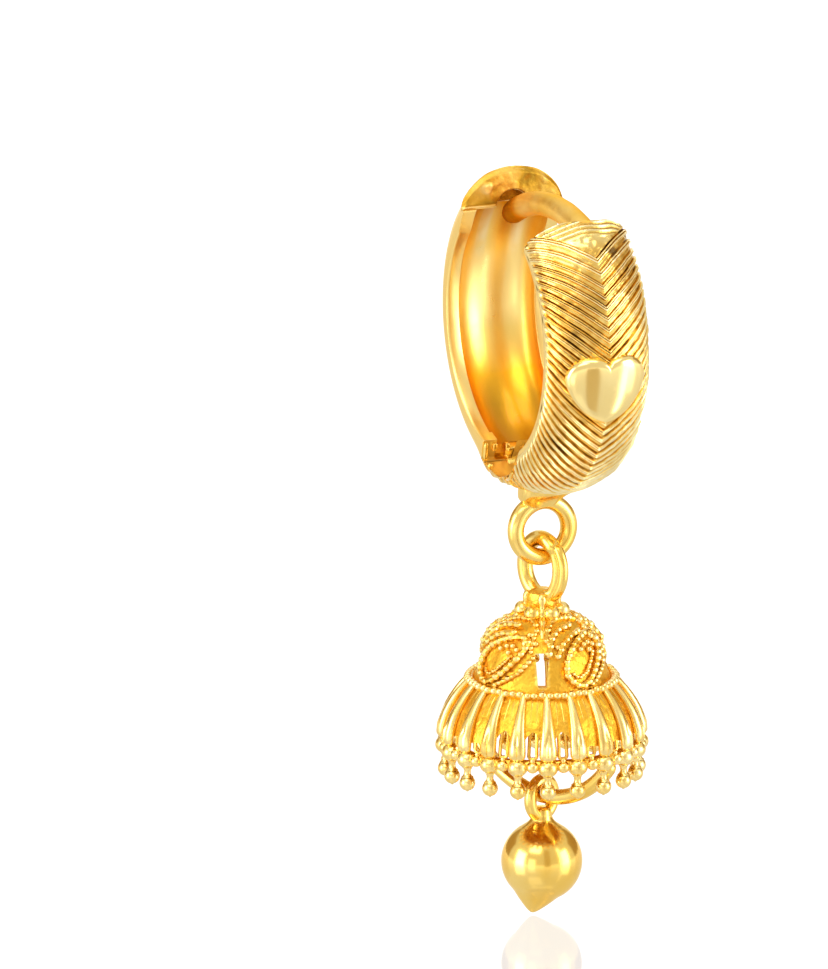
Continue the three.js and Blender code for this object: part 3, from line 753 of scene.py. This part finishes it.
def filigree():
    """Leaning leaves of grained wire round the dome, with ropes of grains above them."""
    shape = Shape()
    for i in range(4):
        middle = i * math.pi / 2
        window = middle + math.pi / 4
        beaded(shape, line_on_dome(LEAF, middle, 0.2, True), 0.18, True)
        for lift, grain, line in WIRES:
            beaded(shape, line_on_dome(line, middle, lift), grain)
        balls(shape, [on_dome(u, z, middle, 0.12) for u, z in LEAF_GRAINS], 0.15)
        balls(shape, [on_dome(u, z, window, 0.1) for u, z in KNOBS], rng.uniform(0.15, 0.21, len(KNOBS)))
        r, z = smooth_line(STRAND, 6).T
        tube(shape, around(r, window, z), 0.19 + 0.03 * np.sin(np.arange(len(r)) * 0.8), 12)
    collar = math.radians(-135) + np.array([-0.52, 0.5, 1.5, 2.5, 3.5, 4.6])
    return balls(shape, around(0.92, collar, -13.98), 0.42, 11, 18)


def leaf_dishes():
    """The sunk floor inside each leaf, painted darker as shade in the hollow."""
    shape = Shape()
    edge = smooth_line(LEAF, 6, True)
    centre = edge.mean(0)
    for i in range(4):
        rings = []
        for share in (1.0, 0.94, 0.8, 0.6, 0.35, 0.1):
            u, z = (centre + (edge - centre) * share).T
            rings.append(on_dome(u, z, i * math.pi / 2, 0.05 + 0.13 * (share - 0.9)))
        # painted shade in the sunk floor
        shape.grid(np.array(rings), close_v=True, mark=-0.06)
    return shape


def windows():
    """Tapering slots between the leaves."""
    shapes = []
    for i in range(4):
        # the back window runs down through the waist, so that daylight shows through the front one
        top, low, high, bottom = (0.34, -17.0, -15.46, 0.2) if i else (0.5, -17.6, -15.3, 0.34)
        slot = prism([(-top, high), (top, high), (bottom, low), (-bottom, low)], 1.0, 5.0)
        shapes.append(slot.moved(math.pi / 4 + i * math.pi / 2))
    return shapes


def ring_of(count, r, z, first=0.0):
    return around(r, first + 2 * math.pi * np.arange(count) / count, z)


def waist():
    """The beaded ring round the waist, open over the back window."""
    gap = math.radians(4.5)
    ends = math.pi / 4 + gap, math.pi / 4 + 2 * math.pi - gap
    # the wire under the grains is painted darker as shade between them
    shape = tube(Shape(), around(3.42, np.linspace(*ends, 96), -17.36), 0.18, 10, mark=-0.05)
    grains = around(3.53, np.linspace(*ends, 61), -17.28)
    return balls(shape, grains + rng.normal(0, 0.015, grains.shape), rng.uniform(0.18, 0.215, len(grains)))


def cone_at(t):
    """Radius and height along the flare of the skirt, from the waist (0) to the rim (1)."""
    return (np.interp(t, [0, .2, .4, .6, .8, 1], [3.45, 3.9, 4.28, 4.56, 4.74, 4.8]),
            np.interp(t, [0, .2, .4, .6, .8, 1], [-17.35, -17.86, -18.42, -19.0, -19.6, -20.2]))


def rib():
    """One teardrop petal from the waist to the rim, creased low down, with the loop of wire beside it."""
    t = np.array([0, .05, .12, .22, .34, .46, .58, .69, .79, .87, .93, .975, 1.0])
    r, z = cone_at(t)
    half = np.interp(t, [0, .1, .3, .5, .7, .85, .93, .975, 1],
                     [.16, .18, .24, .31, .39, .43, .42, .34, .16])
    deep = np.interp(t, [0, .3, .6, .8, .93, 1], [.15, .2, .26, .3, .28, .12])
    across, lift = np.cos(once_round(24)), np.sin(once_round(24))
    crease = 0.3 * np.exp(-(across / 0.13) ** 2) * smooth_step(0.5, 0.75, t)[:, None]
    lift = np.where(lift > 0, lift - crease, 0.7 * lift)
    run = np.hypot(np.gradient(r), np.gradient(z))
    drop_share, out_share = (np.gradient(z) / run)[:, None], (np.gradient(r) / run)[:, None]
    r, z, half, deep = r[:, None], z[:, None], half[:, None], deep[:, None]
    petal = np.stack([r - drop_share * deep * lift, half * across + 0 * lift,
                      z + out_share * deep * lift], -1)
    part = Shape().grid(petal, close_v=True)
    down, up = np.linspace(0.02, 0.93, 16), np.linspace(0.93, 0.02, 16)
    side = np.concatenate([np.linspace(-0.12, -0.2, 16), [-0.12, 0, 0.12], np.linspace(0.2, 0.12, 16)])
    r, z = cone_at(np.concatenate([down, [0.97] * 3, up]))
    # the loop of wire beside the petal is painted darker as shade
    return tube(part, smooth_line(around(r - 0.2, RIB_STEP / 2 + side / r, z), 2), 0.09, 7, mark=-0.035)


def ribs():
    shape, part = Shape(), rib()
    points, marks = np.concatenate(part.points), np.concatenate(part.marks)
    for i in range(RIBS):
        # one rib at the back stands a little aside and leaves the line of sight through the windows free
        aside = math.radians(4) if i == RIBS // 2 else 0
        shape.add(points @ spin(FIRST_RIB + RIB_STEP * i + aside), part.faces, marks)
    return shape


def lining():
    """The thin sheet behind the upper part of the skirt, arched over an opening between the petals, painted
    darker as shade behind them.
    """
    gap_from, gap_to = RIBS // 2 - 0.95, RIBS // 2 + 0.1
    place = np.linspace(gap_to, gap_from + RIBS, 16 * RIBS)
    from_middle = np.abs(2 * np.mod(place, 1.0) - 1)
    gap = np.floor(np.mod(place, RIBS))
    open_gap = (gap == 0) | (gap >= RIBS - 2)
    low = np.where(open_gap, 0.55 + 0.33 * from_middle ** 1.6, 0.8 + 0.06 * from_middle)
    turn = place * RIB_STEP
    layers = []
    for inset, order in ((0.1, np.linspace(0, 1, 9)), (0.2, np.linspace(1, 0, 9))):
        for share in order:
            r, z = cone_at(low * share)
            layers.append(around(r - inset, turn + FIRST_RIB, z))
    rough = ripple(np.array(layers)[..., 2] * 2, turn * 9)
    # painted shade behind the petals, varied a little at random
    return Shape().grid(np.array(layers), mark=-0.06 + 0.008 * rough)


def squashed(shape, centres, radius, height, rows=9, sides=16):
    """Balls that are wider than they are tall."""
    points, faces = unit_ball(rows, sides)
    for c in centres:
        shape.add(points * [radius, radius, height] + c, faces)


def rim():
    """The grained rim: wide grains under the ribs, small ones between, and a ball under each."""
    # the wire under the grains is painted darker as shade between them
    shape = tube(Shape(), ring_of(120, 4.5, -20.45), 0.27, 12, True, mark=-0.05)
    squashed(shape, ring_of(RIBS, 4.62, -20.56, FIRST_RIB), 0.49, 0.44, 11, 20)
    squashed(shape, ring_of(RIBS, 4.72, -20.5, FIRST_RIB + RIB_STEP / 2), 0.3, 0.28)
    balls(shape, ring_of(RIBS, 4.62, -20.2, FIRST_RIB + RIB_STEP / 2), 0.15, 6, 10)
    line = [(0.32, -20.88), (0.22, -21.0), (0.17, -21.12), (0.165, -21.24), (0.2, -21.36), (0.3, -21.45)]
    stem = lathe(Shape(), line, 14)
    for foot in ring_of(RIBS, RIM_R, 0, FIRST_RIB):
        shape.add(stem.points[0] + foot, stem.faces)
    balls(shape, ring_of(RIBS, RIM_R, -21.74, FIRST_RIB), 0.385, 11, 18)
    return balls(shape, ring_of(RIBS, RIM_R, -22.1, FIRST_RIB), 0.08, 5, 8)


def cross_wire():
    """The wire bowed across the bell's mouth."""
    span, sag = 4.45, 2.2
    radius = (span ** 2 + sag ** 2) / (2 * sag)
    a = np.linspace(-math.asin(span / radius), math.asin(span / radius), 60)
    path = np.stack([0 * a, radius * np.sin(a), WIRE_LOW + radius - radius * np.cos(a)], -1)
    return tube(Shape(), path, 0.38, 22)


def drop():
    """The pointed ball with its neck and the eye that hangs on the bowed wire."""
    t = once_round(64)
    loop = np.stack([0.78 * np.cos(t), 0 * t, WIRE_LOW - 0.14 + 0.9 * np.sin(t)], -1)
    shape = tube(Shape(), loop, 0.3, 18, closed=True)
    neck = [(0.01, -23.7), (0.28, -23.72), (0.42, -23.82), (0.47, -24.0), (0.5, -24.2), (0.58, -24.38),
            (0.72, -24.53), (0.92, -24.67), (1.1, -24.82), (1.15, -24.95)]
    lathe(shape, smooth_line(neck, 4), 40)
    tilt = np.linspace(math.pi / 2 - 0.02, -math.radians(54), 46)
    tip = [(1.04, -1.67), (0.92, -1.8), (0.79, -1.94), (0.65, -2.08), (0.5, -2.22), (0.36, -2.35),
           (0.22, -2.46), (0.1, -2.53), (0.01, -2.55)]
    ball = lathe(Shape(), [*(1.95 * np.stack([np.cos(tilt), np.sin(tilt)], -1)), *tip], 72)
    return shape.add(ball.points[0] @ spin(math.radians(15), 1) + np.array([0, 0, -26.4]), ball.faces)


# ---------------------------------------------------------------- materials

def fill(node, values):
    for key, value in values.items():
        node.inputs[key].default_value = value


def gold(name, rough, grain=0.0, grain_scale=3000.0, lumps=0.0, streak=0.0, edge=0.0, coat=0.4,
         light=(0.97, 0.70, 0.21), mid=(0.94, 0.60, 0.11), low=(0.86, 0.46, 0.04),
         deepest=(0.20, 0.10, 0.012), tint=(1.0, 0.9, 0.65), depth=0.11, top=0.0, patches=0.4):
    """Gold plate: the tone drifts a little at random, deepens in the grooves and hollows as painted shade
    and lightens on raised marks as painted highlight, over fine surface grain.
    """
    material = bpy.data.materials.new(name)
    material.use_nodes = True
    nodes, links = material.node_tree.nodes, material.node_tree.links
    shader = nodes["Principled BSDF"]
    fill(shader, {"Metallic": 1.0, "Specular Tint": (*tint, 1)})
    fill(shader, {"Coat Weight": coat, "Coat Roughness": 0.08})
    where = nodes.new("ShaderNodeTexCoord")

    def noise(scale, detail, source=where.outputs["Object"]):
        node = nodes.new("ShaderNodeTexNoise")
        fill(node, {"Scale": scale, "Detail": detail})
        links.new(source, node.inputs["Vector"])
        return node.outputs["Fac"]

    def rescale(value, low, high, to_low, to_high):
        node = nodes.new("ShaderNodeMapRange")
        fill(node, {"From Min": low, "From Max": high, "To Min": to_low, "To Max": to_high})
        links.new(value, node.inputs["Value"])
        return node.outputs["Result"]

    def bump(height, strength, distance, normal):
        node = nodes.new("ShaderNodeBump")
        fill(node, {"Strength": strength, "Distance": distance * MM})
        links.new(height, node.inputs["Height"])
        if normal:
            links.new(normal, node.inputs["Normal"])
        return node.outputs["Normal"]

    tone = nodes.new("ShaderNodeValToRGB")
    stops = tone.color_ramp.elements
    stops[0].color = (*light, 1)
    stops[1].color = (*deepest, 1)
    for at, colour in ((0.3, mid), (0.62, low), (0.84, [0.66 * c for c in low])):
        stops.new(at).color = (*colour, 1)
    # the mark attribute is painted shade and highlight: at top and above it gives the light colour, at
    # -depth and below the deepest
    mark = nodes.new("ShaderNodeAttribute")
    mark.attribute_name = "mark"
    most = nodes.new("ShaderNodeMath")
    most.operation = "MAXIMUM"
    links.new(rescale(mark.outputs["Fac"], top, -depth, 0.0, 1.0), most.inputs[0])
    links.new(rescale(noise(420.0, 3.0), 0.3, 0.75, 0.0, patches), most.inputs[1])
    links.new(most.outputs["Value"], tone.inputs["Fac"])
    links.new(tone.outputs["Color"], shader.inputs["Base Color"])
    fine = noise(grain_scale, 4.0)
    links.new(rescale(fine, 0.0, 1.0, rough * 0.75, rough * 1.3), shader.inputs["Roughness"])
    normal = None
    if edge:
        rounded = nodes.new("ShaderNodeBevel")
        rounded.samples = 4
        fill(rounded, {"Radius": edge * MM})
        normal = rounded.outputs["Normal"]
    if lumps:
        normal = bump(noise(1500.0, 3.0), lumps, 0.12, normal)
    if grain:
        normal = bump(fine, grain, 0.04, normal)
    if streak:
        stretch = nodes.new("ShaderNodeMapping")
        fill(stretch, {"Scale": (6.0, 0.3, 0.3)})
        links.new(where.outputs["Object"], stretch.inputs["Vector"])
        normal = bump(noise(900.0, 2.0, stretch.outputs["Vector"]), streak, 0.03, normal)
    links.new(normal, shader.inputs["Normal"])
    return material


# in each material the light colour is painted highlight where marks reach top, and the deepest colour is
# painted shade where they reach -depth
engraved = gold("engraved_gold_look", 0.24, grain=0.3, grain_scale=5000.0,
                light=(1.0, 0.91, 0.60), mid=(0.93, 0.70, 0.25), low=(0.80, 0.48, 0.09),
                deepest=(0.28, 0.15, 0.03), depth=0.12, top=0.055, patches=0.3)
polished = gold("polished_gold_look", 0.3, grain=0.04, grain_scale=2000.0, streak=0.1, edge=0.04, coat=0.2,
                light=(1.0, 0.86, 0.50), mid=(0.96, 0.66, 0.17), low=(0.92, 0.45, 0.02),
                deepest=(0.66, 0.27, 0.008), top=0.035, patches=0.3)
plate = gold("cast_plate_look", 0.5, grain=0.5, grain_scale=4500.0, lumps=0.5, coat=0.0,
             light=(1.0, 0.78, 0.34), mid=(0.80, 0.50, 0.10), low=(0.64, 0.35, 0.035),
             deepest=(0.55, 0.17, 0.003), tint=(1.0, 0.6, 0.2), depth=0.1, patches=0.6)
heart_gold = gold("heart_gold_look", 0.16, grain=0.03, grain_scale=2500.0, light=(0.99, 0.78, 0.33),
                  patches=0.1)
cast = gold("post_gold_look", 0.42, grain=0.2, grain_scale=3500.0, lumps=0.1, coat=0.0,
            light=(1.0, 0.72, 0.24), mid=(0.97, 0.64, 0.14), low=(0.86, 0.38, 0.02),
            deepest=(0.62, 0.2, 0.004), tint=(1.0, 0.62, 0.22))
ring_gold = gold("ring_gold_look", 0.2, grain=0.08, grain_scale=2000.0, lumps=0.03, edge=0.05)
bell_gold = gold("filigree_gold_look", 0.22, grain=0.15, edge=0.03, light=(1.0, 0.78, 0.33),
                 mid=(0.95, 0.62, 0.13), depth=0.09, patches=0.3)
sheet_gold = gold("sheet_gold_look", 0.4, grain=0.6, lumps=1.0, coat=0.0, depth=0.1, patches=0.7)
bead_gold = gold("bead_gold_look", 0.18, grain=0.02, grain_scale=1500.0)


# ---------------------------------------------------------------- pieces

def bell_piece(name, shape, material, replaces=(), body="jhumki"):
    return build(name, shape.moved(BELL_YAW, (0, DROP_Y, 0)), body, material, replaces)


build("front_band", front_crown(), "front", engraved, ["front_half_hoop"], 60, True)
build("front_band_inside", front_inner(), "front", polished)
build("heart_boss", heart(), "front", heart_gold)
build("front_hinge_knuckle", front_hinge(), "front", ring_gold)
build("hanging_ring", hanger(), "front", ring_gold)
build("ear_post_rod", post(), "front", cast, ["ear_post"])
build("hinge_pin_rod", pin(), "front", cast, ["hinge_pin"])

back = build("back_band", back_band(), "back", polished, ["back_half_hoop"], weld=True)
carve(back, front_trim(), hinge_wedge(), trim_block(9, NOTCH_Z, 9.5))
solid_end = build("back_end_block", end_plate(), "back", polished, weld=True)
carve(solid_end, trim_block(PLATE_Y + 0.09, 1, 9.5), trim_block(9, 1, NOTCH_Z), notch())
build("back_end_face", plate_face(), "back", plate, sharp=70)
build("back_hinge_knuckles", back_hinge_parts(), "back", ring_gold)

bell_piece("bell_eye", eye(), ring_gold)
dome = bell_piece("bell_dome", neck_and_dome(), sheet_gold, ["jhumki_bell"])
carve(dome, *[slot.moved(BELL_YAW, (0, DROP_Y, 0)) for slot in windows()])
bell_piece("bell_filigree", filigree(), bell_gold)
bell_piece("bell_leaf_dishes", leaf_dishes(), sheet_gold)
bell_piece("bell_skirt_lining", lining(), sheet_gold)
bell_piece("bell_waist", waist(), bell_gold)
bell_piece("bell_ribs", ribs(), bell_gold)
bell_piece("bell_rim", rim(), bell_gold)
bell_piece("bell_cross_wire", cross_wire(), ring_gold)
bell_piece("bead_and_eye", drop(), bead_gold, ["bead_drop"], "drop")


# ---------------------------------------------------------------- floor, light, camera

AZIMUTH = math.radians(-22.8)
CAMERA_LIFT = 15
CAMERA_AWAY = 1.2
AIM_LEFT, AIM_BELOW = 0.00622, 0.00748
FLOOR_GAP = 0.00019


def direction(turn, lift):
    """A direction `turn` degrees to the right of the camera and `lift` degrees above the floor."""
    a, e = AZIMUTH + math.radians(turn), math.radians(lift)
    return Vector((math.sin(a) * math.cos(e), -math.cos(a) * math.cos(e), math.sin(e)))


def plain_material(name, colour, rough, specular, glow):
    material = bpy.data.materials.new(name)
    material.use_nodes = True
    fill(material.node_tree.nodes["Principled BSDF"],
         {"Base Color": (*colour, 1), "Roughness": rough, "Specular IOR Level": specular,
          "Emission Color": (1, 1, 1, 1), "Emission Strength": glow})
    return material


def rectangle(name, width, height, z, material):
    """A flat sheet of the stage."""
    w, h = width / 2, height / 2
    data = bpy.data.meshes.new(name)
    data.from_pydata([(-w, -h, z), (w, -h, z), (w, h, z), (-w, h, z)], [], [(0, 1, 2, 3)])
    data.materials.append(material)
    obj = bpy.data.objects.new(name, data)
    bpy.context.scene.collection.objects.link(obj)
    return obj


def place(obj, middle, facing):
    """Turns a light or card towards a direction; the camera doesn't see it itself."""
    obj.location = middle
    obj.rotation_mode = "QUATERNION"
    obj.rotation_quaternion = facing.to_track_quat("Z", "Y")
    obj.visible_camera = False


def softbox(name, towards, distance, width, height, radiance):
    """A rectangular light facing the earring; radiance is what a mirror would see of it."""
    lamp = bpy.data.lights.new(name, "AREA")
    lamp.shape = "RECTANGLE"
    lamp.size, lamp.size_y = width, height
    lamp.energy = radiance * width * height * math.pi
    obj = bpy.data.objects.new(name, lamp)
    place(obj, Vector((0, 0, -0.018)) + towards * distance, towards)
    bpy.context.scene.collection.objects.link(obj)


def card(name, middle, facing, width, height, colour, glow=0.0):
    """A flat card that the gold mirrors."""
    obj = rectangle(name, width, height, 0, plain_material(name, colour, 0.9, 0.0, glow))
    place(obj, middle, facing)


floor_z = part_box("bead_drop")[0].z - FLOOR_GAP
rectangle("floor", 6, 6, floor_z, plain_material("floor_white", (0.02, 0.02, 0.02), 0.06, 0.95, 0.75))

softbox("softbox_left", direction(-66, 10), 0.8, 0.42, 0.5, 4.5)
softbox("softbox_right", direction(72, 10), 0.8, 0.36, 0.5, 4.5)
softbox("softbox_top", direction(0, 80), 0.9, 0.7, 0.5, 2.2)
softbox("softbox_key", direction(-24, 46), 0.8, 0.45, 0.35, 2.6)
behind = direction(180, 15)
card("white_card_behind", behind * 2.2, -behind, 0.6, 0.4, (0.8, 0.8, 0.8), 1.0)
for side in (-1, 1):
    flag = direction(side * 132, 14)
    card(f"dark_card_{side + 2}", flag * 0.9, -flag, 0.75, 0.5, (0.42, 0.29, 0.13))

# low cards round the hoop: the heart mirrors a darker band on its left and a bright streak on its right
for name, turn, away, width, height, colour, glow in (
        ("low_dark_card", 13, 0.020, 0.0085, 0.027, (0.8, 0.7, 0.5), 0.0),
        ("low_bright_card", 66, 0.024, 0.0045, 0.027, (0.8, 0.8, 0.8), 2.2),
        ("low_left_card", -34, 0.060, 0.022, 0.020, (0.8, 0.8, 0.8), 1.25)):
    aim = direction(turn, 0)
    foot = Vector((0, -0.0078, floor_z))
    card(name, foot + aim * away + Vector((0, 0, height / 2 + 0.001)), -aim, width, height, colour, glow)

world = bpy.data.worlds.new("studio")
bpy.context.scene.world = world
world.use_nodes = True
fill(world.node_tree.nodes["Background"], {"Color": (1, 0.97, 0.9, 1), "Strength": 0.85})

to_camera = direction(0, CAMERA_LIFT)
right = Vector((math.cos(AZIMUTH), math.sin(AZIMUTH), 0))
up = to_camera.cross(right)
target = Vector((0, 0, CENTRE_Z * MM)) - right * AIM_LEFT - up * AIM_BELOW
camera_data = bpy.data.cameras.new("camera")
camera_data.sensor_width = 36
camera_data.lens = 938.5
camera_data.clip_start, camera_data.clip_end = 0.05, 20
camera = bpy.data.objects.new("camera", camera_data)
camera.location = target + to_camera * CAMERA_AWAY
camera.rotation_euler = Matrix((right, up, to_camera)).transposed().to_euler()
bpy.context.scene.collection.objects.link(camera)
bpy.context.scene.camera = camera
bpy.context.scene.view_settings.view_transform = "Standard"

bpy.context.view_layer.update()
